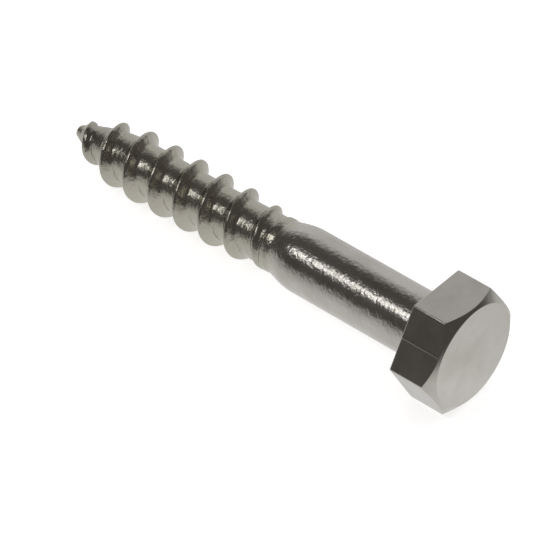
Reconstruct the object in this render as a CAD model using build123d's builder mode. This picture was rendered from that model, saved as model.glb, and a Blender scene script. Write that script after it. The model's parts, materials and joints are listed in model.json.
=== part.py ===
from build123d import *
from math import atan, ceil, cos, degrees, radians, sin, sqrt, tan
import os

# Hexagon head coach screw M8 x 50, one solid of bright stainless steel.
# It is drawn along X, with its head towards +X and the bearing face of the
# head at X = 0, and is then laid down as it comes to rest on a flat surface.

# Head, mm
across_flats = 12.9
head_height = 5.3
face_dia = 12.2             # circle that the chamfer leaves on the end face
chamfer_angle = 36.5        # between the chamfer cone and the end face

# Shank, neck and collar, mm
length = 50.4               # bearing face to tip
plain_length = 17.3         # bearing face to the end of the full shank
shank_dia = 7.5
underhead_radius = 0.4      # cut as two short cones
neck_length = 3.3           # taper from the shank down to the neck
neck_dia = 6.0
collar_dia = 6.4            # low ring where the rolling of the thread ends
collar_width = 1.4
collar_flat = 0.6

# Thread, mm
pitch = 3.6
thread_dia = 7.75
root_dia = 5.55
flank_angle = 60.0          # included angle between the two flanks
crest_width = 0.2           # flat along the crest
crest_bevel = 0.1           # height of the bevel on each side of it
fade_length = 7.6           # crest sinking into the collar
root_rise = 7.5             # root thickening towards the collar

# Gimlet point, mm
point_length = 9.4
tip_dia = 0.8
tip_crest_dia = 1.1         # crest of the thread at the tip
thread_inset = 0.5          # tip to the first section of the thread
start_angle = -48.0         # where the thread starts, in degrees from +Y to +Z

# Making of the thread and the point
sections_per_turn = 8
point_rings = 8
ridge_sink = 0.2            # depth of the ridge's foot inside the core
axis_gap = 0.05             # least distance from the ridge's foot to the axis

tip_x = -length
point_x = tip_x + point_length
neck_x = -plain_length - neck_length
collar_x = neck_x - collar_width
collar_middle_x = neck_x - collar_width / 2
core_x = collar_x - root_rise
thread_start_x = tip_x + thread_inset
thread_end_x = neck_x - collar_width / 4
half_flank = radians(flank_angle / 2)
corner_radius = across_flats / sqrt(3)


def ogive_radius(distance, span, end_radius, full_radius):
    """Radius at a distance from the end of an arc that runs level into full_radius after span."""
    drop = full_radius - end_radius
    arc = (span * span + drop * drop) / (2 * drop)
    run = span - min(max(distance, 0), span)
    return full_radius - arc + sqrt(arc * arc - run * run)


def core_radius(x):
    """Radius of the core at x, over the point and the threaded length."""
    return ogive_radius(x - tip_x, point_length, tip_dia / 2, root_dia / 2)


def crest_height(x):
    """Radius of the thread's crest at x: it grows over the point and sinks at the collar."""
    growing = ogive_radius(x - tip_x, point_length, tip_crest_dia / 2, thread_dia / 2)
    sinking = ogive_radius(thread_end_x - x, fade_length, neck_dia / 2, thread_dia / 2)
    return min(growing, sinking)


def thread_section(turn):
    """Section of the ridge in the half plane through the axis that it has reached at turn."""
    x = thread_start_x + pitch * turn
    angle = radians(start_angle + 360 * turn)
    outward = Vector(0, cos(angle), sin(angle))
    onward = Vector(0, -sin(angle), cos(angle))
    crest = crest_height(x)
    shoulder = crest - crest_bevel
    half_width = crest_width / 2 + crest_bevel
    reach = half_width + (thread_dia - root_dia) / 2 * tan(half_flank)
    foot = max(core_radius(x - reach) - ridge_sink, axis_gap)
    half_foot = half_width + (shoulder - foot) * tan(half_flank)
    with BuildSketch(Plane(origin=(x, 0, 0), x_dir=outward, z_dir=onward)) as section:
        with BuildLine():
            Polyline(
                (foot, -half_foot),
                (shoulder, -half_width),
                (crest, -crest_width / 2),
                (crest, crest_width / 2),
                (shoulder, half_width),
                (foot, half_foot),
                close=True,
            )
        make_face()
    return section.sketch


def thread_ridge(first_turn, last_turn):
    """A stretch of the right-hand ridge, lofted through its sections."""
    steps = ceil((last_turn - first_turn) * sections_per_turn)
    step_turns = (last_turn - first_turn) / steps
    with BuildPart() as ridge:
        loft([thread_section(first_turn + step_turns * step) for step in range(steps + 1)])
    return ridge.part


def point_ring(x):
    """Circle of the point's core at x."""
    with BuildSketch(Plane.YZ.offset(x)) as ring:
        Circle(core_radius(x))
    return ring.sketch


# Head: a hexagonal prism with one flat facing down, chamfered by a cone
chamfer_depth = (corner_radius - face_dia / 2) * tan(radians(chamfer_angle))
with BuildPart() as hex_head:
    with BuildSketch(Plane.YZ):
        RegularPolygon(across_flats / 2, 6, major_radius=False)
    extrude(amount=head_height)
    with BuildSketch(Plane.XY):
        with BuildLine():
            Polyline(
                (0, 0),
                (0, across_flats),
                (head_height - chamfer_depth, across_flats),
                (head_height - chamfer_depth, corner_radius),
                (head_height, face_dia / 2),
                (head_height, 0),
                close=True,
            )
        make_face()
    revolve(axis=Axis.X, mode=Mode.INTERSECT)

# Shank, neck, collar and core are one outline turned about the axis. The point
# is lofted on, and then the thread, turn by turn, from the point to the collar.
turns = (thread_end_x - thread_start_x) / pitch
stretches = ceil(turns)
with BuildPart() as straight_screw:
    with BuildSketch(Plane.XY):
        with BuildLine():
            Polyline(
                (head_height / 2, 0),
                (point_x, 0),
                (point_x, root_dia / 2),
                (core_x, root_dia / 2),
                (collar_x, neck_dia / 2),
                (collar_middle_x - collar_flat / 2, collar_dia / 2),
                (collar_middle_x + collar_flat / 2, collar_dia / 2),
                (neck_x, neck_dia / 2),
            )
            Bezier(
                (neck_x, neck_dia / 2),
                (-plain_length - neck_length / 2, shank_dia / 2),
                (-plain_length, shank_dia / 2),
            )
            Polyline(
                (-plain_length, shank_dia / 2),
                (-underhead_radius, shank_dia / 2),
                (-0.3 * underhead_radius, shank_dia / 2 + 0.3 * underhead_radius),
                (0, shank_dia / 2 + underhead_radius),
                (head_height / 2, shank_dia / 2 + underhead_radius),
                (head_height / 2, 0),
            )
        make_face()
    revolve(axis=Axis.X)
    add(hex_head.part)
    rings = [point_ring(tip_x + point_length * ring / (point_rings - 1)) for ring in range(point_rings)]
    loft(rings, ruled=True)
    for stretch in range(stretches):
        add(thread_ridge(turns * stretch / stretches, turns * (stretch + 1) / stretches))

# It rests on the lower flat's edge at the bearing face and on one crest on the
# underside, the first to touch as the point goes down.
first_lower_turn = (-90 - start_angle) % 360 / 360
lower_crests = [thread_start_x + pitch * (first_lower_turn + turn) for turn in range(stretches)]
tilt = min(degrees(atan((across_flats / 2 - crest_height(x)) / -x)) for x in lower_crests)
with BuildPart() as coach_screw:
    add(straight_screw.part, rotation=(0, -tilt, 0))

coach_screw.part.label = "coach_screw"
os.makedirs("parts", exist_ok=True)
export_step(coach_screw.part, "parts/coach_screw.step")
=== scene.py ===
"""Hexagon-head coach screw: builds the dressed screw and its studio stage."""

import json
from math import atan2, cos, pi, radians, sin, sqrt, tan

import bmesh
import bpy
from mathutils import Matrix, Vector


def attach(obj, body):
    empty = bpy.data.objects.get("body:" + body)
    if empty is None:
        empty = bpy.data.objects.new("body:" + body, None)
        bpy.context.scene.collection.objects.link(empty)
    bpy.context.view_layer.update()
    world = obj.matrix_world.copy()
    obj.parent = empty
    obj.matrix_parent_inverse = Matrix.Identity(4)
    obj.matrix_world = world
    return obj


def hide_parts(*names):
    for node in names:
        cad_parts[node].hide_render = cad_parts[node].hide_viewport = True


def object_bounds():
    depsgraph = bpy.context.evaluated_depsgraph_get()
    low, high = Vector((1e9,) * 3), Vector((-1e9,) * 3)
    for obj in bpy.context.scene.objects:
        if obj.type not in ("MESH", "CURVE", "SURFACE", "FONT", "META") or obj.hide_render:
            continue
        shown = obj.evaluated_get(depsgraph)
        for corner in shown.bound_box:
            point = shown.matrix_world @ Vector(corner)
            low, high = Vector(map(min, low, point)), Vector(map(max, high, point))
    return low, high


bl_info = {
    "name": "Coach Screw",
    "version": (1, 0, 0),
    "blender": (4, 5, 0),
    "location": "View3D > Sidebar > Coach Screw",
    "description": "Builds a hexagon-head stainless coach screw and the stage that it lies on",
    "category": "Add Mesh",
}

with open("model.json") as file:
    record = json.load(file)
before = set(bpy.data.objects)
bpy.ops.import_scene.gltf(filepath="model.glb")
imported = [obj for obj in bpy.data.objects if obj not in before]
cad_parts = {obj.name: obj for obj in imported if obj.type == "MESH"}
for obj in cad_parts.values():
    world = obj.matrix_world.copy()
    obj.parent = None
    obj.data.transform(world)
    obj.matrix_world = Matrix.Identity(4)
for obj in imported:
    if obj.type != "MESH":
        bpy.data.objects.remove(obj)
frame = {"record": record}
CAD_BOX = [list(corner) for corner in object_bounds()]
NODE = "coach_screw"
MM = 0.001
SPARE_TURNS = 2             # turns of the winding strip before the tip, and as many past the neck
ROLLING_SEED = 3.0
SEAM_FLAT = 1               # the flat of the head that carries the die seam

# how many marks to the metre, about
FINE_MARKS = 1700.0
UNEVEN_DRAWING = 420.0
STAINING = 260.0
UNEVEN_ROLLING = 900.0


def rest_turn():
    """The turn that takes the screw from lying level to lying at rest on its head and its thread."""
    mounts = {mount["name"]: mount for mount in frame["record"]["mounts"]}
    to_tip = mounts["under_head"]["axis"]
    return Matrix.Rotation(-atan2(-to_tip[2], -to_tip[0]), 4, "Y")


REST_TURN = rest_turn()


# ---------------------------------------------------------------- sizes and colours

def size(name, default, description, low=0.0):
    """A length property, given in millimetres and kept in metres."""
    return bpy.props.FloatProperty(
        name=name, description=description, default=default * MM, min=low * MM,
        precision=5, unit="LENGTH")


def number(name, default, description, high):
    """A plain number property that starts at 0."""
    return bpy.props.FloatProperty(
        name=name, description=description, default=default, min=0.0, max=high,
        precision=3, subtype="FACTOR")


def turn(name, default, description):
    """An angle property, given in degrees and kept in radians."""
    return bpy.props.FloatProperty(
        name=name, description=description, default=radians(default), subtype="ANGLE")


def colour(name, default, description):
    """A colour property."""
    return bpy.props.FloatVectorProperty(
        name=name, description=description, default=default, size=3, min=0.0, max=1.0, subtype="COLOR")


class CoachScrewHeadSizes(bpy.types.PropertyGroup):
    """Sizes of the hexagon head."""

    across_flats: size("Across Flats", 12.9, "Width of the hexagon from flat to flat")
    height: size("Head Height", 5.3, "Height of the head above its bearing face")
    face_diameter: size("Face Diameter", 12.2, "Diameter of the flat end face inside the chamfer")
    chamfer_angle: turn("Chamfer Angle", 36.5, "Slope of the chamfer from the end face")
    corner_radius: size("Corner Radius", 0.2, "Rounding of the six upright edges")
    bearing_radius: size("Bearing Edge Radius", 0.15, "Rounding of the edge round the bearing face")
    chamfer_radius: size("Chamfer Edge Radius", 0.1, "Rounding where the chamfer meets the flats")
    face_radius: size("Face Edge Radius", 0.16, "Rounding where the chamfer meets the end face")
    seam_offset: size("Seam Offset", -0.07, "Distance of the die seam from the middle of its flat",
                      low=-3.0)
    seam_width: size("Seam Width", 0.22, "Width of the fine die seam on one flat")
    seam_height: size("Seam Height", 0.012, "How far the die seam stands proud")


class CoachScrewShankSizes(bpy.types.PropertyGroup):
    """Sizes of the plain shank, the run-out and the threaded part."""

    length: size("Length", 50.4, "Length under the head")
    plain_length: size("Plain Length", 17.3, "Length of the full-diameter shank under the head")
    shank_diameter: size("Shank Diameter", 7.5, "Diameter of the plain shank")
    underhead_radius: size("Under-head Radius", 0.4, "Fillet between the shank and the bearing face")
    neck_length: size("Neck Length", 3.3, "Length over which the shank narrows towards the thread")
    neck_diameter: size("Neck Diameter", 6.0, "Diameter of the run-out at its narrow end")
    neck_round: size("Neck Rounding", 0.8, "How softly the run-out turns into its narrow end")
    collar_diameter: size("Collar Diameter", 6.4, "Diameter of the low collar at the end of the thread")
    collar_width: size("Collar Width", 1.4, "Width of the collar at its foot")
    collar_flat: size("Collar Flat", 0.4, "Width of the collar at its top")
    pitch: size("Pitch", 3.6, "Distance from one turn of the thread to the next")
    thread_diameter: size("Thread Diameter", 7.75, "Diameter over the thread")
    root_diameter: size("Root Diameter", 5.55, "Diameter of the core between the turns")
    root_rise: size("Root Rise", 7.5, "Length over which the core grows into the neck")
    crest_width: size("Crest Width", 0.34, "Width of the thread at its crest")
    flank_angle: turn("Flank Angle", 60.0, "Angle between the two flanks of the thread")
    crest_round: size("Crest Rounding", 0.3, "How softly the flanks turn into the crest")
    root_round: size("Root Rounding", 0.8, "How softly the flanks turn into the core")
    fade_length: size("Fade Length", 7.6, "Length over which the thread dies out near the neck")
    point_length: size("Point Length", 9.4, "Length of the gimlet point")
    tip_diameter: size("Tip Diameter", 1.1, "Diameter of the core at the tip")
    tip_crest_diameter: size("Tip Crest Diameter", 1.2, "Diameter over the thread at the tip")
    tip_crest_width: size("Tip Crest Width", 0.75, "Width of the thread at its crest at the tip")
    tip_nose: size("Tip Nose", 0.4, "Depth of the rounded nose of the point")
    thread_inset: size("Thread Inset", 0.5, "Distance of the first turn from the tip")
    start_angle: turn("Start Angle", -48.0, "Where on the tip the thread starts")
    rolling_depth: size("Rolling Marks", 0.08, "Depth of the uneven rolling of the thread")
    off_centre: size("Off Centre", 0.06, "How far the rolled thread lies off the axis of the shank")


class CoachScrewFinish(bpy.types.PropertyGroup):
    """Colours and marks of the stainless steel."""

    steel: colour("Steel", (0.62, 0.60, 0.56), "Colour of the bare stainless steel")
    steel_stain: colour("Steel Stain", (0.54, 0.52, 0.47), "Colour of the faint staining in the steel")
    rolled_steel: colour("Rolled Steel", (0.53, 0.512, 0.44), "Colour of the rolled thread")
    point_steel: colour("Point Steel", (0.44, 0.425, 0.365), "Colour of the steel at the tip of the point")
    drawn_roughness: number("Drawn Roughness", 0.2, "Roughness of the drawn shank", high=1.0)
    rolled_roughness: number("Rolled Roughness", 0.25, "Roughness of the rolled thread", high=1.0)
    head_roughness: number("Head Roughness", 0.22, "Roughness of the forged head", high=1.0)
    drawing_marks: number("Drawing Marks", 1.0, "Strength of the fine marks round the shank", high=2.0)
    rolled_marks: number("Rolled Marks", 1.2, "How much deeper the marks are on the thread", high=10.0)
    head_grain: number("Head Grain", 0.12, "Strength of the fine grain on the head", high=2.0)


class CoachScrewStage(bpy.types.PropertyGroup):
    """Floor, lights and camera of the stage."""

    floor_size: size("Floor Size", 3000.0, "Width of the square floor")
    floor_colour: colour("Floor Colour", (0.8, 0.8, 0.79), "Colour of the pale floor")
    room_light: number("Room Light", 1.0, "Strength of the light from the room", high=5.0)
    strip_light: number("Strip Light", 2.6, "Brightness of the long strip light at the front", high=20.0)
    top_light: number("Top Light", 0.6, "Strength of the soft light from above", high=20.0)
    lens: bpy.props.FloatProperty(
        name="Lens", description="Focal length of the camera in millimetres", default=343.04, min=10.0)


# ---------------------------------------------------------------- node helpers

class NodeWriter:
    """Adds nodes to one tree, links them and sets them out in columns."""

    column_width, row_height = 220, 240

    def __init__(self, tree, rows=8):
        self.tree = tree
        self.rows = rows
        self.count = 0

    def add(self, kind, settings=None, label=None, **inputs):
        """Adds a node with its settings, and feeds each input by its name or number."""
        node = self.tree.nodes.new(kind)
        column, row = divmod(self.count, self.rows)
        node.location = (self.column_width * column, -self.row_height * row)
        self.count += 1
        for key, value in (settings or {}).items():
            setattr(node, key, value)
        if label:
            node.label = label
        for key, value in inputs.items():
            self.feed(node, key, value)
        return node

    def feed(self, node, key, value):
        """Feeds one input, named or numbered as in0, in1 and so on."""
        if key.startswith("in") and key[2:].isdigit():
            socket = node.inputs[int(key[2:])]
        else:
            socket = node.inputs[key.replace("_", " ")]
        if isinstance(value, bpy.types.NodeSocket):
            self.tree.links.new(value, socket)
        else:
            socket.default_value = value

    def math(self, operation, *values, clamp=False, label=None):
        """A Math node."""
        settings = {"operation": operation, "use_clamp": clamp}
        inputs = {f"in{place}": value for place, value in enumerate(values)}
        return self.add("ShaderNodeMath", settings, label, **inputs).outputs[0]

    def vector(self, x, y, z):
        """A vector from its three parts."""
        return self.add("ShaderNodeCombineXYZ", in0=x, in1=y, in2=z).outputs[0]

    def map_range(self, value, low, high, to_low=0.0, to_high=1.0, smooth=False):
        """A clamped Map Range node."""
        settings = {"interpolation_type": "SMOOTHSTEP" if smooth else "LINEAR"}
        return self.add("ShaderNodeMapRange", settings,
                        in0=value, in1=low, in2=high, in3=to_low, in4=to_high).outputs[0]


def node_group(name, kind, inputs, outputs):
    """An empty node group with named inputs and outputs, and its writer."""
    tree = bpy.data.node_groups.new(name, kind)
    for title, socket, default in inputs:
        made = tree.interface.new_socket(title, in_out="INPUT", socket_type=socket)
        if default is not None:
            made.default_value = default
    for title, socket in outputs:
        tree.interface.new_socket(title, in_out="OUTPUT", socket_type=socket)
    writer = NodeWriter(tree)
    given = writer.add("NodeGroupInput").outputs
    result = tree.nodes.new("NodeGroupOutput")
    return tree, writer, given, result


def fresh_nodes(owner):
    """Empties the node tree of a material or a world, and returns its writer."""
    owner.use_nodes = True
    owner.node_tree.nodes.clear()
    return NodeWriter(owner.node_tree, rows=3)


def new_object(name, mesh, material):
    """A new scene object at the origin with one material."""
    piece = bpy.data.objects.new(name, mesh)
    bpy.context.scene.collection.objects.link(piece)
    mesh.materials.clear()
    mesh.materials.append(material)
    return piece


def settle(piece):
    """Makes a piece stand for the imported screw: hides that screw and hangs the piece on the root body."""
    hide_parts(NODE)
    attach(piece, "root")


# ---------------------------------------------------------------- materials

def metal_marks_group():
    """Fine marks in bare metal: a height, a stain mask and a change of roughness.

    Stretch sets how far the marks run round the screw: 1 gives an even grain, and more gives
    fine lines round it, as drawing and rolling leave them.
    """
    name = "Metal Marks"
    if name in bpy.data.node_groups:
        return bpy.data.node_groups[name]
    tree, write, given, result = node_group(
        name, "ShaderNodeTree",
        [("Scale", "NodeSocketFloat", 1.0), ("Stretch", "NodeSocketFloat", 1.0),
         ("Roughness", "NodeSocketFloat", 0.2), ("Rolled Roughness", "NodeSocketFloat", 0.3),
         ("Rolled Marks", "NodeSocketFloat", 1.0), ("Spread", "NodeSocketFloat", 0.05)],
        [("Height", "NodeSocketFloat"), ("Stain", "NodeSocketFloat"), ("Roughness", "NodeSocketFloat"),
         ("Rolled", "NodeSocketFloat"), ("Point", "NodeSocketFloat")])
    place = write.add("ShaderNodeTexCoord").outputs["Object"]
    level = write.add("ShaderNodeMapping", {"vector_type": "POINT"}, Vector=place)
    level.inputs["Rotation"].default_value = REST_TURN.inverted().to_euler()
    along, across, up = write.add("ShaderNodeSeparateXYZ", Vector=level.outputs[0]).outputs
    round_place = write.vector(write.math("MULTIPLY", along, given["Stretch"]), across, up)
    fine = write.add("ShaderNodeTexNoise", {"noise_dimensions": "3D"}, label="fine marks",
                     Vector=round_place, Detail=3.0, Roughness=0.6,
                     Scale=write.math("MULTIPLY", given["Scale"], FINE_MARKS)).outputs[0]
    coarse = write.add("ShaderNodeTexNoise", {"noise_dimensions": "3D"}, label="uneven drawing",
                       Vector=round_place, Detail=2.0, Roughness=0.5,
                       Scale=write.math("MULTIPLY", given["Scale"], UNEVEN_DRAWING)).outputs[0]
    stain = write.add("ShaderNodeTexNoise", {"noise_dimensions": "3D"}, label="staining",
                      Vector=level.outputs[0], Scale=STAINING, Detail=3.0, Roughness=0.55).outputs[0]
    sizes = bpy.context.scene.coach_screw_shank
    rolled = write.map_range(along, -sizes.plain_length - sizes.neck_length / 2,
                             -sizes.plain_length - sizes.neck_length, smooth=True)
    fine_share = 0.75
    clean_below, stained_above = 0.4, 0.7
    height = write.math("ADD", write.math("MULTIPLY", fine, fine_share),
                        write.math("MULTIPLY", coarse, 1.0 - fine_share))
    deeper = write.math("MULTIPLY_ADD", rolled, write.math("SUBTRACT", given["Rolled Marks"], 1.0), 1.0)
    change = write.math("MULTIPLY", write.math("SUBTRACT", coarse, 0.5), given["Spread"])
    rise = write.math("SUBTRACT", given["Rolled Roughness"], given["Roughness"])
    rough = write.math("ADD", given["Roughness"], write.math("MULTIPLY", rolled, rise))
    results = [
        write.math("MULTIPLY", height, deeper),
        write.map_range(stain, clean_below, stained_above),
        write.math("ADD", rough, change, clamp=True),
        rolled,
        write.map_range(along, sizes.point_length - sizes.length, -sizes.length, smooth=True)]
    for index, value in enumerate(results):
        write.feed(result, f"in{index}", value)
    return tree


def stainless(name, roughness, marks, scale, stretch, depth):
    """Bare stainless steel with fine marks in its surface."""
    finish = bpy.context.scene.coach_screw_finish
    material = bpy.data.materials.new(name)
    write = fresh_nodes(material)
    group = write.add("ShaderNodeGroup", {"node_tree": metal_marks_group()},
                      Scale=scale, Stretch=stretch, Roughness=roughness, Spread=0.12,
                      Rolled_Roughness=finish.rolled_roughness, Rolled_Marks=finish.rolled_marks)
    tint = (*finish.steel, 1.0)
    shades = [("faint stain", "Stain", finish.steel_stain), ("rolled part", "Rolled", finish.rolled_steel),
              ("darker point", "Point", finish.point_steel)]
    for label, mask, shade in shades:
        tint = write.add("ShaderNodeMix", {"data_type": "RGBA"}, label,
                         in0=group.outputs[mask], in6=tint, in7=(*shade, 1.0)).outputs[2]
    bump = write.add("ShaderNodeBump", Strength=marks, Distance=depth, Height=group.outputs["Height"])
    metal = write.add("ShaderNodeBsdfPrincipled", Metallic=1.0, Roughness=group.outputs["Roughness"],
                      Base_Color=tint, Normal=bump.outputs[0])
    write.add("ShaderNodeOutputMaterial", Surface=metal.outputs[0])
    return material


# ---------------------------------------------------------------- threaded shank

def ogive_group():
    """Radius of a body that curves from a small end into its full radius along one arc."""
    name = "Ogive Radius"
    if name in bpy.data.node_groups:
        return bpy.data.node_groups[name]
    tree, write, given, result = node_group(
        name, "GeometryNodeTree",
        [("Distance", "NodeSocketFloat", 0.0), ("Span", "NodeSocketFloat", 1.0),
         ("End Radius", "NodeSocketFloat", 0.0), ("Full Radius", "NodeSocketFloat", 1.0)],
        [("Radius", "NodeSocketFloat")])
    span = given["Span"]
    drop = write.math("SUBTRACT", given["Full Radius"], given["End Radius"])
    squares = write.math("ADD", write.math("MULTIPLY", span, span), write.math("MULTIPLY", drop, drop))
    arc = write.math("DIVIDE", squares, write.math("MULTIPLY", drop, 2.0), label="arc radius")
    reach = write.math("MINIMUM", write.math("MAXIMUM", given["Distance"], 0.0), span)
    run = write.math("SUBTRACT", span, reach)
    rise = write.math("SQRT", write.math("SUBTRACT", write.math("MULTIPLY", arc, arc),
                                         write.math("MULTIPLY", run, run)))
    write.feed(result, "in0", write.math("ADD", write.math("SUBTRACT", given["Full Radius"], arc), rise))
    return tree


def threaded_shank_tree(columns, rows):
    """Geometry Nodes tree of the threaded shank.

    The skin of the thread is one long strip that winds up the screw, so its edges follow the
    crest. Past both ends of the thread the strip is held back, which closes it into the nose of
    the point and into an even ring, where the plain part carries on. The plain part is swept
    from the outline given as the input geometry, with along in X and the radius in Y.
    """
    settings = [
        ("Length", "length"), ("Plain Length", "plain_length"), ("Neck Length", "neck_length"),
        ("Neck Diameter", "neck_diameter"), ("Neck Rounding", "neck_round"),
        ("Shank Diameter", "shank_diameter"), ("Collar Diameter", "collar_diameter"),
        ("Collar Width", "collar_width"), ("Collar Flat", "collar_flat"), ("Pitch", "pitch"),
        ("Thread Diameter", "thread_diameter"), ("Root Diameter", "root_diameter"),
        ("Root Rise", "root_rise"), ("Crest Width", "crest_width"), ("Flank Angle", "flank_angle"),
        ("Crest Rounding", "crest_round"), ("Root Rounding", "root_round"),
        ("Fade Length", "fade_length"), ("Point Length", "point_length"),
        ("Tip Diameter", "tip_diameter"), ("Tip Crest Diameter", "tip_crest_diameter"),
        ("Tip Crest Width", "tip_crest_width"), ("Tip Nose", "tip_nose"),
        ("Thread Inset", "thread_inset"), ("Start Angle", "start_angle"),
        ("Rolling Marks", "rolling_depth"), ("Off Centre", "off_centre")]
    inputs = [("Outline", "NodeSocketGeometry", None)]
    inputs += [(title, "NodeSocketFloat", None) for title, _ in settings]
    inputs += [("Turns", "NodeSocketInt", 12), ("Seed", "NodeSocketFloat", ROLLING_SEED),
               ("Rest Turn", "NodeSocketVector", None), ("Steel", "NodeSocketMaterial", None)]
    tree, write, given, result = node_group(
        "Threaded Shank", "GeometryNodeTree", inputs, [("Geometry", "NodeSocketGeometry")])
    math, ogive = write.math, ogive_group()

    def half(title):
        return math("MULTIPLY", given[title], 0.5)

    def ogive_radius(distance, span, end_radius, full_radius):
        return write.add("GeometryNodeGroup", {"node_tree": ogive}, Distance=distance, Span=span,
                         End_Radius=end_radius, Full_Radius=full_radius).outputs[0]

    root_radius, thread_radius = half("Root Diameter"), half("Thread Diameter")
    neck_radius, shank_radius = half("Neck Diameter"), half("Shank Diameter")
    tip_x = math("MULTIPLY", given["Length"], -1.0, label="tip")
    plain_x = math("MULTIPLY", given["Plain Length"], -1.0, label="end of the plain shank")
    neck_x = math("SUBTRACT", plain_x, given["Neck Length"], label="neck")
    collar_x = math("SUBTRACT", neck_x, given["Collar Width"], label="collar foot")
    collar_middle = math("SUBTRACT", neck_x, half("Collar Width"))
    core_x = math("SUBTRACT", collar_x, given["Root Rise"], label="end of the even core")
    first_x = math("ADD", tip_x, given["Thread Inset"], label="first turn")
    last_x = math("SUBTRACT", neck_x, math("MULTIPLY", given["Collar Width"], 0.25), label="last turn")
    nose_x = math("ADD", tip_x, given["Tip Nose"])

    # the winding strip: turns along X, across one pitch along Y
    along = math("ADD", math("MULTIPLY", given["Turns"], float(columns)), 1.0)
    strip = write.add("GeometryNodeMeshGrid", Vertices_X=along, Vertices_Y=rows + 1)
    index = write.add("GeometryNodeInputIndex").outputs[0]
    column = math("FLOOR", math("DIVIDE", math("ADD", index, 0.5), rows + 1.0), label="column")
    row = math("SUBTRACT", index, math("MULTIPLY", column, rows + 1.0), label="row")
    winding = math("SUBTRACT", math("DIVIDE", column, float(columns)), float(SPARE_TURNS),
                   label="turns from the start")
    side = math("SUBTRACT", math("MULTIPLY", math("DIVIDE", row, float(rows)), 2.0), 1.0)
    crowding = 1.5              # above 1 the rows lie closer together at the crest
    eased = math("MULTIPLY", math("SIGN", side), math("POWER", math("ABSOLUTE", side), crowding))
    offset = math("MULTIPLY", eased, half("Pitch"), label="distance from the crest")
    crest_line = math("ADD", first_x, math("MULTIPLY", winding, given["Pitch"]))
    wanted = math("ADD", crest_line, offset)
    x = math("MINIMUM", math("MAXIMUM", wanted, nose_x), neck_x, label="place along the screw")
    past_tip = math("MAXIMUM", math("SUBTRACT", nose_x, wanted), 0.0)
    angle = math("ADD", given["Start Angle"], math("MULTIPLY", winding, 2 * pi), label="angle")

    # the turned body
    core = ogive_radius(math("SUBTRACT", x, tip_x), given["Point Length"],
                        half("Tip Diameter"), root_radius)
    rise = write.map_range(x, core_x, collar_x, 0.0, math("SUBTRACT", neck_radius, root_radius))
    from_collar = math("ABSOLUTE", math("SUBTRACT", x, collar_middle))
    collar = write.map_range(from_collar, half("Collar Flat"), half("Collar Width"),
                             math("SUBTRACT", half("Collar Diameter"), neck_radius), 0.0, smooth=True)
    even = math("ADD", math("ADD", core, rise), collar)
    share = math("SUBTRACT", 1.0, math("DIVIDE", math("SUBTRACT", x, neck_x), given["Neck Length"]))
    widening = math("MULTIPLY", math("SUBTRACT", shank_radius, neck_radius), math("MULTIPLY", share, share))
    body = math("SMOOTH_MAX", even, math("SUBTRACT", shank_radius, widening), given["Neck Rounding"],
                label="body radius")

    # the ridge of the thread
    gap = math("WRAP", math("SUBTRACT", x, crest_line),
               half("Pitch"), math("MULTIPLY", given["Pitch"], -0.5))
    crest_x = math("SUBTRACT", x, gap)
    opening = ogive_radius(math("SUBTRACT", crest_x, tip_x), given["Point Length"],
                           half("Tip Crest Diameter"), thread_radius)
    closing = ogive_radius(math("SUBTRACT", last_x, crest_x), given["Fade Length"],
                           neck_radius, thread_radius)
    crest = math("MINIMUM", opening, closing, label="crest radius")
    slope = math("DIVIDE", 1.0, math("TANGENT", math("MULTIPLY", given["Flank Angle"], 0.5)))
    half_width = write.map_range(crest_x, tip_x, math("ADD", tip_x, half("Point Length")),
                                 half("Tip Crest Width"), half("Crest Width"))
    flank = math("SUBTRACT", math("ADD", crest, math("MULTIPLY", slope, half_width)),
                 math("MULTIPLY", slope, math("ABSOLUTE", gap)))
    ridge = math("SMOOTH_MIN", flank, crest, given["Crest Rounding"], label="ridge radius")
    threaded = math("SMOOTH_MAX", body, ridge, given["Root Rounding"])
    near_neck = write.map_range(x, last_x, neck_x, smooth=True)
    level = write.add("ShaderNodeMix", {"data_type": "FLOAT"},
                      in0=near_neck, in2=threaded, in3=body).outputs[0]

    # uneven rolling, longer along the turn than across it
    squeeze = 2.2               # shortens the marks along the screw
    seen = write.vector(math("MULTIPLY", x, squeeze), math("MULTIPLY", math("COSINE", angle), level),
                        math("MULTIPLY", math("SINE", angle), level))
    noise = write.add("ShaderNodeTexNoise", {"noise_dimensions": "4D"}, Vector=seen, W=given["Seed"],
                      Scale=UNEVEN_ROLLING, Detail=2.0, Roughness=0.55).outputs[0]
    unmarked = 0.6              # level of the noise that leaves the radius as it is
    marks = math("MULTIPLY", math("SUBTRACT", noise, unmarked), given["Rolling Marks"])
    marks = math("MULTIPLY", marks, math("SUBTRACT", 1.0, write.map_range(x, collar_x, neck_x)))
    radius = math("ADD", level, marks, label="radius with its marks")

    # the nose
    closed = math("MULTIPLY", math("MINIMUM", math("DIVIDE", past_tip, half("Pitch")), 1.0), pi / 2)
    place_x = math("SUBTRACT", x, math("MULTIPLY", math("SINE", closed), given["Tip Nose"]))
    place_r = math("MULTIPLY", radius, math("COSINE", closed))
    wound = write.vector(place_x, math("MULTIPLY", place_r, math("COSINE", angle)),
                         math("MULTIPLY", place_r, math("SINE", angle)))
    skin = write.add("GeometryNodeSetPosition", Geometry=strip.outputs["Mesh"], Position=wound)

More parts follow.
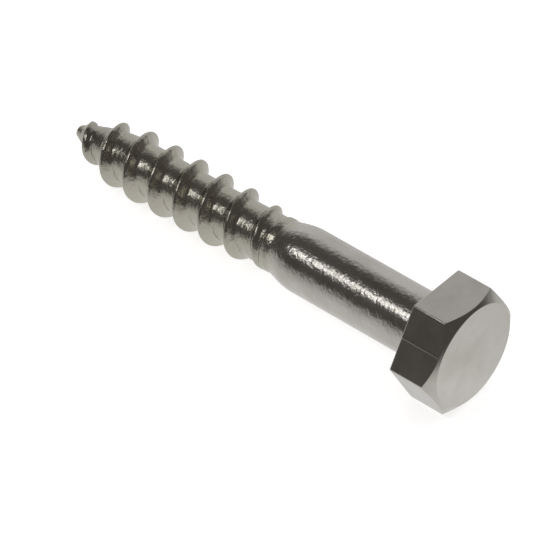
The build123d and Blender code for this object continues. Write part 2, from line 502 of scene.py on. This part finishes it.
    # the plain part, swept from its outline
    stations = write.add("GeometryNodeAttributeDomainSize", {"component": "MESH"},
                         Geometry=given["Outline"])
    plain = write.add("GeometryNodeMeshGrid", Vertices_X=stations.outputs["Point Count"],
                      Vertices_Y=columns + 1)
    station = math("FLOOR", math("DIVIDE", math("ADD", index, 0.5), columns + 1.0), label="station")
    spoke = math("SUBTRACT", index, math("MULTIPLY", station, columns + 1.0))
    spoke_angle = math("ADD", given["Start Angle"], math("MULTIPLY", spoke, 2 * pi / columns))
    point = write.add("GeometryNodeSampleIndex", {"data_type": "FLOAT_VECTOR", "domain": "POINT"},
                      Geometry=given["Outline"], Value=write.add("GeometryNodeInputPosition").outputs[0],
                      Index=station).outputs[0]
    outline = write.add("ShaderNodeSeparateXYZ", Vector=point).outputs
    swept = write.vector(outline[0], math("MULTIPLY", outline[1], math("COSINE", spoke_angle)),
                         math("MULTIPLY", outline[1], math("SINE", spoke_angle)))
    sleeve = write.add("GeometryNodeSetPosition", Geometry=plain.outputs["Mesh"], Position=swept)

    whole = write.add("GeometryNodeJoinGeometry", Geometry=skin.outputs[0])
    write.feed(whole, "Geometry", sleeve.outputs[0])
    merged = write.add("GeometryNodeMergeByDistance", Geometry=whole.outputs[0], Distance=0.002 * MM)
    place = write.add("ShaderNodeSeparateXYZ",
                      Vector=write.add("GeometryNodeInputPosition").outputs[0]).outputs
    apart = write.map_range(place[0], plain_x, collar_x, 0.0, given["Off Centre"], smooth=True)
    sideways, upwards = 0.5, 0.85       # the side to which the thread lies off the axis
    shift = write.vector(0.0, math("MULTIPLY", apart, sideways), math("MULTIPLY", apart, upwards))
    shifted = write.add("GeometryNodeSetPosition", Geometry=merged.outputs[0], Offset=shift)
    turned = write.add("GeometryNodeTransform", Geometry=shifted.outputs[0], Rotation=given["Rest Turn"])
    smooth = write.add("GeometryNodeSetShadeSmooth", Geometry=turned.outputs[0])
    real = write.add("GeometryNodeRealizeInstances", Geometry=smooth.outputs[0])
    painted = write.add("GeometryNodeSetMaterial", Geometry=real.outputs[0], Material=given["Steel"])
    write.feed(result, "in0", painted.outputs[0])
    return tree, settings


def shank_outline(sizes):
    """Outline of the run-out, the plain shank and the fillet, as (along, radius) pairs.

    It runs from the neck into the head.
    """
    shank, neck = sizes.shank_diameter / 2, sizes.neck_diameter / 2
    fillet, plain_x = sizes.underhead_radius, -sizes.plain_length
    neck_x = plain_x - sizes.neck_length
    neck_steps, plain_steps, fillet_steps = 24, 40, 8
    outline = []
    for step in range(neck_steps + 1):
        share = step / neck_steps
        widened = shank - (shank - neck) * (1 - share) ** 2
        overlap = max(sizes.neck_round - (widened - neck), 0.0) / sizes.neck_round
        # the Math node's smooth maximum, so that this part meets the winding strip
        softened = widened + overlap ** 3 * sizes.neck_round / 6
        outline.append((neck_x + sizes.neck_length * step / neck_steps, softened))
    for step in range(1, plain_steps + 1):
        outline.append((plain_x + (-fillet - plain_x) * step / plain_steps, shank))
    for step in range(1, fillet_steps + 1):
        bend = pi / 2 * step / fillet_steps
        outline.append((-fillet + fillet * sin(bend), shank + fillet * (1 - cos(bend))))
    inside_head = 0.2 * MM
    return outline + [(inside_head, radius) for radius in (shank + fillet, shank / 2, 0.0)]


def build_threaded_shank():
    """Runs the tree on the outline and keeps the result as a plain mesh."""
    sizes, finish = bpy.context.scene.coach_screw_shank, bpy.context.scene.coach_screw_finish
    steel = stainless("rolled_stainless", finish.drawn_roughness, finish.drawing_marks,
                      scale=1.0, stretch=1.5, depth=0.085 * MM)
    outline = bpy.data.meshes.new("shank_outline")
    points = [(along, radius, 0.0) for along, radius in shank_outline(sizes)]
    outline.from_pydata(points, [(place, place + 1) for place in range(len(points) - 1)], [])
    worker = new_object("shank_worker", outline, steel)
    tree, settings = threaded_shank_tree(columns=96, rows=32)
    modifier = worker.modifiers.new("threaded_shank", "NODES")
    modifier.node_group = tree
    names = {item.name: item.identifier for item in tree.interface.items_tree
             if item.in_out == "INPUT"}
    for title, key in settings:
        modifier[names[title]] = getattr(sizes, key)
    threaded = sizes.length - sizes.plain_length - sizes.neck_length
    modifier[names["Turns"]] = int(threaded / sizes.pitch) + 2 * SPARE_TURNS
    modifier[names["Seed"]] = ROLLING_SEED
    modifier[names["Rest Turn"]] = tuple(REST_TURN.to_euler())
    modifier[names["Steel"]] = steel
    evaluated = worker.evaluated_get(bpy.context.evaluated_depsgraph_get())
    mesh = bpy.data.meshes.new_from_object(evaluated)
    bpy.data.objects.remove(worker)
    mesh.name = "threaded_shank"
    tidy_skin(mesh)
    settle(new_object("threaded_shank", mesh, steel))


def tidy_skin(mesh):
    """Dissolves slivers, turns the faces outwards and stops if the skin isn't closed."""
    work = bmesh.new()
    work.from_mesh(mesh)
    bmesh.ops.dissolve_degenerate(work, edges=work.edges, dist=0.0001 * MM)
    bmesh.ops.recalc_face_normals(work, faces=work.faces)
    open_edges = sum(1 for edge in work.edges if not edge.is_manifold)
    volume = work.calc_volume(signed=True)
    work.to_mesh(mesh)
    work.free()
    if open_edges or volume <= 0:
        raise RuntimeError(f"{mesh.name} isn't closed: {open_edges} open edges, volume {volume}")


# ---------------------------------------------------------------- hexagon head

def rounded_outline(points, radii, steps):
    """The outline through the points with an arc at each inner one, as pairs like the points.

    An arc that the two sides next to it have no room for gets smaller.
    """
    most_of_side = 0.48         # an arc takes no more than this of a side, so two never meet
    result = [points[0]]
    for place in range(1, len(points) - 1):
        before, here, after = (Vector(points[place + shift]) for shift in (-1, 0, 1))
        towards, onwards = before - here, after - here
        bend = towards.angle(onwards)
        room = most_of_side * min(towards.length, onwards.length)
        radius = min(radii[place - 1], room * tan(bend / 2))
        inwards = (towards.normalized() + onwards.normalized()).normalized()
        middle = here + inwards * (radius / sin(bend / 2))
        start = here + towards.normalized() * (radius / tan(bend / 2)) - middle
        end = here + onwards.normalized() * (radius / tan(bend / 2)) - middle
        swing = start.angle(end)
        for step in range(steps + 1):
            share = step / steps
            mixed = (start * sin((1 - share) * swing) + end * sin(share * swing)) / sin(swing)
            result.append(tuple(middle + mixed))
    return result + [points[-1]]


def hexagon_corner(sizes):
    """Distance of a rounded corner's centre from the axis, and half the angle that its arc takes."""
    flat, radius = sizes.across_flats / 2, sizes.corner_radius
    return (flat - radius) / cos(pi / 6), pi / 6 - atan2((flat - radius) * tan(pi / 6), flat)


def hexagon_angles(sizes):
    """Angles round the head: close together at the corners and the seam, with the flat of each."""
    corner_steps, flat_steps, seam_steps = 3, 8, 8
    _, reach = hexagon_corner(sizes)
    flat = sizes.across_flats / 2
    angles = []
    for side in range(6):
        offsets = [-pi / 6 + reach * step / corner_steps for step in range(corner_steps)]
        offsets += [(pi / 6 - reach) * (step / flat_steps - 1) for step in range(2 * flat_steps + 1)]
        offsets += [pi / 6 - reach * step / corner_steps for step in range(corner_steps - 1, 0, -1)]
        if side == SEAM_FLAT:
            offsets += [atan2(sizes.seam_offset + sizes.seam_width * (step / seam_steps - 0.5), flat)
                        for step in range(seam_steps + 1)]
        angles += [(side, offset) for offset in sorted(offsets)]
    return angles


def head_section(sizes, offset, side):
    """Section of the head at one angle, as (radius, along) pairs.

    It runs from the middle of the bearing face to the middle of the end face.
    """
    flat, top = sizes.across_flats / 2, sizes.height
    centre, reach = hexagon_corner(sizes)
    from_corner = pi / 6 - abs(offset)
    if from_corner < reach:
        rim = centre * cos(from_corner) + sqrt(sizes.corner_radius ** 2 - (centre * sin(from_corner)) ** 2)
    else:
        rim = flat / cos(offset)
    face = sizes.face_diameter / 2
    shoulder = top - (rim - face) * tan(sizes.chamfer_angle)
    points = [(0.0, 0.0), (rim, 0.0), (rim, shoulder), (face, top), (0.0, top)]
    radii = [sizes.bearing_radius, sizes.chamfer_radius, sizes.face_radius]
    section = rounded_outline(points, radii, steps=5)
    if side != SEAM_FLAT:
        return section
    share = (flat * tan(offset) - sizes.seam_offset) / (sizes.seam_width / 2)
    proud = sizes.seam_height * max(0.0, 1 - share * share)
    seam_start, outer = 0.1 * MM, 0.9 * flat
    return [(radius + (proud if seam_start < along < shoulder and radius > outer else 0.0), along)
            for radius, along in section]


def build_hex_head():
    """Builds the head as one closed skin of sections round the axis."""
    sizes, finish = bpy.context.scene.coach_screw_head, bpy.context.scene.coach_screw_finish
    steel = stainless("forged_stainless", finish.head_roughness, finish.head_grain,
                      scale=0.8, stretch=1.0, depth=0.02 * MM)
    work = bmesh.new()
    sections = []
    for side, offset in hexagon_angles(sizes):
        angle = pi / 2 + side * pi / 3 + offset
        sections.append([
            work.verts.new(REST_TURN @ Vector((along, radius * cos(angle), radius * sin(angle))))
            for radius, along in head_section(sizes, offset, side)])
    for here, after in zip(sections, sections[1:] + sections[:1]):
        for place in range(len(here) - 1):
            work.faces.new((here[place], here[place + 1], after[place + 1], after[place]))
    bmesh.ops.remove_doubles(work, verts=work.verts, dist=0.001 * MM)
    for face in work.faces:
        face.smooth = True
    mesh = bpy.data.meshes.new("hex_head")
    work.to_mesh(mesh)
    work.free()
    tidy_skin(mesh)
    head = new_object("hex_head", mesh, steel)
    weights = head.modifiers.new("even_flats", "WEIGHTED_NORMAL")
    weights.weight = 100
    settle(head)


# ---------------------------------------------------------------- stage

def floor_material(stage):
    """Pale floor: white to the camera, and in the metal a painted pool of light.

    This painted light glows brightest right under the screw and darkens towards the near side and beyond
    the head.
    """
    material = bpy.data.materials.new("pale_floor")
    write = fresh_nodes(material)
    place = write.add("ShaderNodeTexCoord").outputs["Object"]
    parts = write.add("ShaderNodeSeparateXYZ", Vector=place).outputs
    # painted light for the metal to reflect: the floor glows by its place, darker towards the near side
    near_y, far_y = -0.1, 0.03
    painted_glow_levels = write.add("ShaderNodeValToRGB", Fac=write.map_range(parts[1], near_y, far_y))
    fill_ramp(painted_glow_levels, [(0.0, 0.22), (0.331, 0.36), (0.608, 0.52), (0.662, 0.63), (0.7, 0.69),
                          (0.731, 0.71), (0.769, 0.81), (0.808, 0.76), (0.862, 0.7), (1.0, 0.62)])
    # the painted glow dims to half beyond the head
    head_x, beyond_x = 0.015, 0.06
    head_side = write.map_range(parts[0], head_x, beyond_x, 1.0, 0.5, smooth=True)
    painted_floor_glow = write.add("ShaderNodeEmission", Color=painted_glow_levels.outputs[0], Strength=head_side)
    paint = write.add("ShaderNodeBsdfPrincipled", Roughness=0.9, Base_Color=(*stage.floor_colour, 1.0))
    white = write.add("ShaderNodeBsdfPrincipled", Roughness=1.0, Base_Color=(1.0, 1.0, 1.0, 1.0),
                      Emission_Color=(1.0, 1.0, 1.0, 1.0), Emission_Strength=0.67)
    path = write.add("ShaderNodeLightPath").outputs
    # glossy rays see the painted glow instead of the lit floor
    for_metal = write.add("ShaderNodeMixShader", in0=path["Is Glossy Ray"], in1=paint.outputs[0],
                          in2=painted_floor_glow.outputs[0])
    for_camera = write.add("ShaderNodeMixShader", in0=path["Is Camera Ray"], in1=for_metal.outputs[0],
                           in2=white.outputs[0])
    write.add("ShaderNodeOutputMaterial", Surface=for_camera.outputs[0])
    return material


def fill_ramp(node, stops):
    """Sets the stops of a colour ramp, each a place and a level, darker stops a little warmer."""
    band = node.color_ramp
    more_red, less_blue = 0.005, 0.003
    while len(band.elements) < len(stops):
        band.elements.new(0.5)
    for element, (place, level) in zip(band.elements, stops):
        element.position = place
        element.color = (level + more_red, level, level - less_blue, 1.0)


def room_world(stage):
    """The room: white to the camera, and in the metal light behind and dark above and in front."""
    world = bpy.data.worlds.new("studio_room")
    bpy.context.scene.world = world
    write = fresh_nodes(world)
    direction = write.add("ShaderNodeTexCoord").outputs["Generated"]
    parts = write.add("ShaderNodeSeparateXYZ", Vector=direction).outputs
    angle = write.math("ARCTAN2", parts[2], parts[1])
    past_overhead = radians(100.0)
    ramp = write.add("ShaderNodeValToRGB", Fac=write.map_range(angle, 0.0, past_overhead))
    fill_ramp(ramp, [(0.0, 0.63), (0.34, 0.64), (0.43, 0.6), (0.49, 0.51), (0.55, 0.37),
                     (0.605, 0.22), (0.66, 0.12), (0.72, 0.083), (0.8, 0.073)])
    warm_dark = (0.083, 0.075, 0.072, 1.0)
    first_dark, full_dark = 0.2, 0.65
    head_side = write.add("ShaderNodeMix", {"data_type": "RGBA"}, label="dark beyond the head",
                          in0=write.map_range(parts[0], first_dark, full_dark, smooth=True),
                          in6=ramp.outputs[0], in7=warm_dark)
    room = write.add("ShaderNodeBackground", Color=head_side.outputs[2], Strength=stage.room_light)
    white = write.add("ShaderNodeBackground", Color=(1.0, 1.0, 1.0, 1.0), Strength=1.0)
    path = write.add("ShaderNodeLightPath").outputs["Is Camera Ray"]
    mixed = write.add("ShaderNodeMixShader", in0=path, in1=room.outputs[0], in2=white.outputs[0])
    write.add("ShaderNodeOutputWorld", Surface=mixed.outputs[0])


def area_light(name, place, target, width, height, brightness):
    """A rectangular soft light that faces its target, with its long side along the screw.

    Its face is as bright as brightness says, whatever its size.
    """
    data = bpy.data.lights.new(name, "AREA")
    data.shape = "RECTANGLE"
    data.size, data.size_y = width, height
    data.energy = brightness * pi * width * height
    light = bpy.data.objects.new(name, data)
    bpy.context.scene.collection.objects.link(light)
    back = (Vector(place) - Vector(target)).normalized()
    side = Vector((1.0, 0.0, 0.0))
    side = (side - back * side.dot(back)).normalized()
    up = back.cross(side)
    light.matrix_world = Matrix.Translation(place) @ Matrix((side, up, back)).transposed().to_4x4()
    return light


def build_stage():
    """Floor, room, lights and camera."""
    stage = bpy.context.scene.coach_screw_stage
    low = CAD_BOX[0][2]
    reach = stage.floor_size / 2
    mesh = bpy.data.meshes.new("floor")
    corners = [(-reach, -reach, low), (reach, -reach, low), (reach, reach, low), (-reach, reach, low)]
    mesh.from_pydata(corners, [], [(0, 1, 2, 3)])
    floor = new_object("floor", mesh, floor_material(stage))
    room_world(stage)

    middle = Vector((-0.022, 0.0, 0.0))
    tilt, half_angle = radians(53.3), radians(6.5)
    distance, length = 0.6, 0.48
    front = middle + Vector((0.0, -cos(tilt), sin(tilt))) * distance
    towards_point = Vector((-0.2, 0.0, 0.0))
    area_light("strip_light", front + towards_point, middle + towards_point,
               length, 2 * distance * tan(half_angle), stage.strip_light)
    height, width = 0.8, 1.2
    above = area_light("top_light", middle + Vector((0.0, 0.0, height)), middle, width, width,
                       stage.top_light)
    above.visible_glossy = False
    place_camera(stage)
    bpy.context.scene.view_settings.view_transform = "Standard"


def place_camera(stage):
    """The camera, set by its place in millimetres and its axes while the screw still lies level."""
    data = bpy.data.cameras.new("camera")
    data.lens, data.sensor_width = stage.lens, 36.0
    data.clip_start, data.clip_end = 0.01, 20.0
    camera = bpy.data.objects.new("camera", data)
    bpy.context.scene.collection.objects.link(camera)
    right, down = (0.75892, 0.65118, 0.00205), (0.43570, -0.50545, -0.74477)
    ahead = (-0.48394, 0.56612, -0.66732)
    turned = Matrix((right, [-part for part in down], [-part for part in ahead])).transposed().to_4x4()
    place = Vector((250.94, -319.32, 371.70)) * MM
    camera.matrix_world = REST_TURN @ Matrix.Translation(place) @ turned
    bpy.context.scene.camera = camera


# ---------------------------------------------------------------- operators and panel

class COACHSCREW_OT_threaded_shank(bpy.types.Operator):
    """Build the plain shank, the run-out, the thread and its gimlet point"""

    bl_idname = "coach_screw.threaded_shank"
    bl_label = "Threaded Shank"

    def execute(self, context):
        build_threaded_shank()
        return {"FINISHED"}


class COACHSCREW_OT_hex_head(bpy.types.Operator):
    """Build the hexagon head with its chamfer, worn edges and die seam"""

    bl_idname = "coach_screw.hex_head"
    bl_label = "Hexagon Head"

    def execute(self, context):
        build_hex_head()
        return {"FINISHED"}


class COACHSCREW_OT_stage(bpy.types.Operator):
    """Set up the pale floor, the room, the lights and the camera"""

    bl_idname = "coach_screw.stage"
    bl_label = "Stage"

    def execute(self, context):
        build_stage()
        return {"FINISHED"}


OPERATORS = (COACHSCREW_OT_threaded_shank, COACHSCREW_OT_hex_head, COACHSCREW_OT_stage)
GROUPS = {
    "coach_screw_head": CoachScrewHeadSizes,
    "coach_screw_shank": CoachScrewShankSizes,
    "coach_screw_finish": CoachScrewFinish,
    "coach_screw_stage": CoachScrewStage,
}


class COACHSCREW_PT_panel(bpy.types.Panel):
    """Sizes, colours and build steps of the coach screw"""

    bl_idname = "COACHSCREW_PT_panel"
    bl_label = "Coach Screw"
    bl_space_type = "VIEW_3D"
    bl_region_type = "UI"
    bl_category = "Coach Screw"

    def draw(self, context):
        for name in GROUPS:
            box = self.layout.box()
            group = getattr(context.scene, name)
            for key in type(group).__annotations__:
                box.prop(group, key)
        for operator in OPERATORS:
            self.layout.operator(operator.bl_idname)


def register():
    for group in GROUPS.values():
        bpy.utils.register_class(group)
    for name, group in GROUPS.items():
        setattr(bpy.types.Scene, name, bpy.props.PointerProperty(type=group))
    for made in (*OPERATORS, COACHSCREW_PT_panel):
        bpy.utils.register_class(made)


def unregister():
    for made in (COACHSCREW_PT_panel, *reversed(OPERATORS)):
        bpy.utils.unregister_class(made)
    for name in GROUPS:
        delattr(bpy.types.Scene, name)
    for group in reversed(GROUPS.values()):
        bpy.utils.unregister_class(group)


def main():
    """Builds the screw and its stage."""
    register()
    bpy.ops.coach_screw.threaded_shank()
    bpy.ops.coach_screw.hex_head()
    bpy.ops.coach_screw.stage()


if __name__ == "__main__":
    main()
